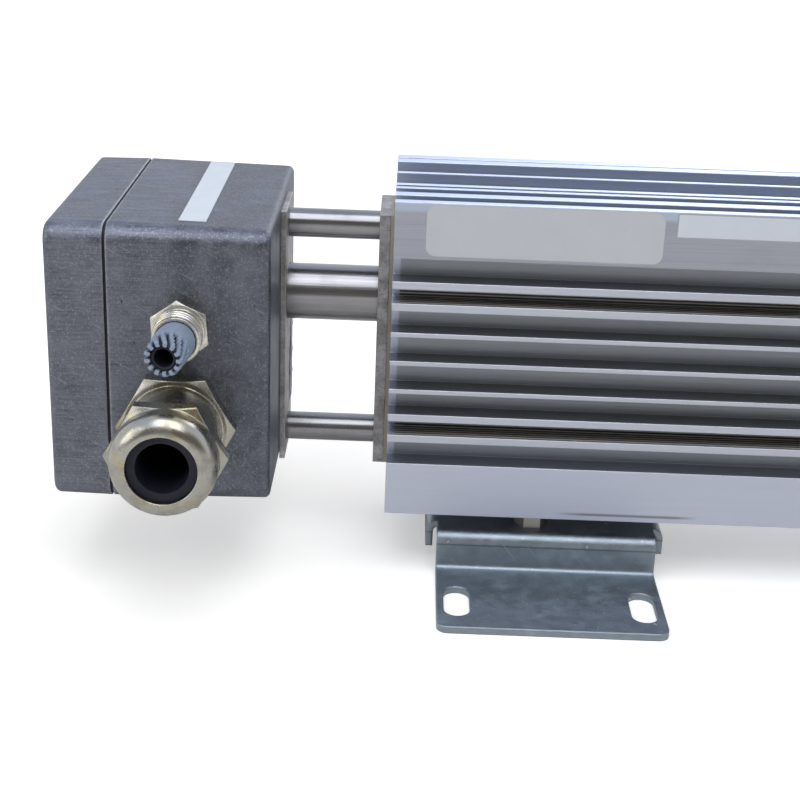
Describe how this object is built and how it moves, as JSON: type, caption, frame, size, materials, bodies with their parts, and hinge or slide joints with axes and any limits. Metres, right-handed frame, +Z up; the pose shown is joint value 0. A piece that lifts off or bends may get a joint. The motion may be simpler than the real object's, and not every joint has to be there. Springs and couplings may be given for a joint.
{
  "type": "braking resistor",
  "caption": "Braking resistor in a finned aluminium profile on two hat brackets, with a cast terminal box held off by spacer tubes.",
  "frame": {"origin": "centre of the whole resistor's bounding box, on the mounting surface under the bracket feet", "axes": "+X along the profile, from the terminal box to the far end; -Y towards the cable glands; +Z up from the mounting surface"},
  "size_m": [0.4, 0.1342, 0.106],
  "materials": {
    "extruded_aluminium": "mill finish with die lines along the length",
    "cast_aluminium": "raw die casting, tumbled and speckled",
    "stainless_steel": "dull sheet with rough-cut edges",
    "stainless_tube": "drawn, satin",
    "stainless_screw": "satin",
    "nickel_plated_brass": "worn nickel plate, warm in tone",
    "galvanised_sheet": "mottled zinc coat with white specks",
    "yellow_zinc_steel": "yellow passivated zinc",
    "black_rubber": "matt",
    "grey_polyamide": "pale blue grey, satin",
    "fibre_gasket": "pressed mineral fibre",
    "steatite": "unglazed",
    "mica_board": "pressed mica",
    "resistance_alloy": "rolled ribbon",
    "sensor_case": "moulded",
    "terminal_plastic": "moulded",
    "brass_screw": "turned",
    "glass_silk_sleeve": "braided sleeve",
    "sensor_wire_sleeve": "smooth sleeve",
    "silver_label": "satin film",
    "white_label": "satin film"
  },
  "bodies": {
    "root": {"box_flange_plate": "stainless_steel", "box_label": "white_label", "bracket_bolts": "yellow_zinc_steel", "bracket_lock_nuts": "yellow_zinc_steel", "bracket_spacer_nuts": "yellow_zinc_steel", "bracket_washers": "yellow_zinc_steel", "conduit_tube": "stainless_tube", "earth_screw": "brass_screw", "element_core": "steatite", "element_end_caps": "steatite", "far_end_gasket": "fibre_gasket", "far_end_plate": "stainless_steel", "far_end_screws": "stainless_screw", "far_mounting_bracket": "galvanised_sheet", "first_power_wire": "glass_silk_sleeve", "first_sensor_wire": "sensor_wire_sleeve", "heat_sink_profile": "extruded_aluminium", "insulating_boards": "mica_board", "large_gland_body": "nickel_plated_brass", "large_gland_claw": "grey_polyamide", "large_gland_locknut": "nickel_plated_brass", "large_gland_nut": "nickel_plated_brass", "large_gland_seal": "black_rubber", "lid_screws": "stainless_screw", "lid_seal": "black_rubber", "long_fixing_screws": "stainless_screw", "lower_spacer_tube": "stainless_tube", "near_end_gasket": "fibre_gasket", "near_end_plate": "stainless_steel", "near_mounting_bracket": "galvanised_sheet", "rating_label": "silver_label", "resistance_winding": "resistance_alloy", "second_label": "white_label", "second_power_wire": "glass_silk_sleeve", "second_sensor_wire": "sensor_wire_sleeve", "small_gland_body": "nickel_plated_brass", "small_gland_claw": "grey_polyamide", "small_gland_locknut": "nickel_plated_brass", "small_gland_seal": "black_rubber", "temperature_switch": "sensor_case", "terminal_box_base": "cast_aluminium", "terminal_box_lid": "cast_aluminium", "terminal_screws": "brass_screw", "terminal_strip": "terminal_plastic", "upper_spacer_tube": "stainless_tube"}
  },
  "joints": []
}
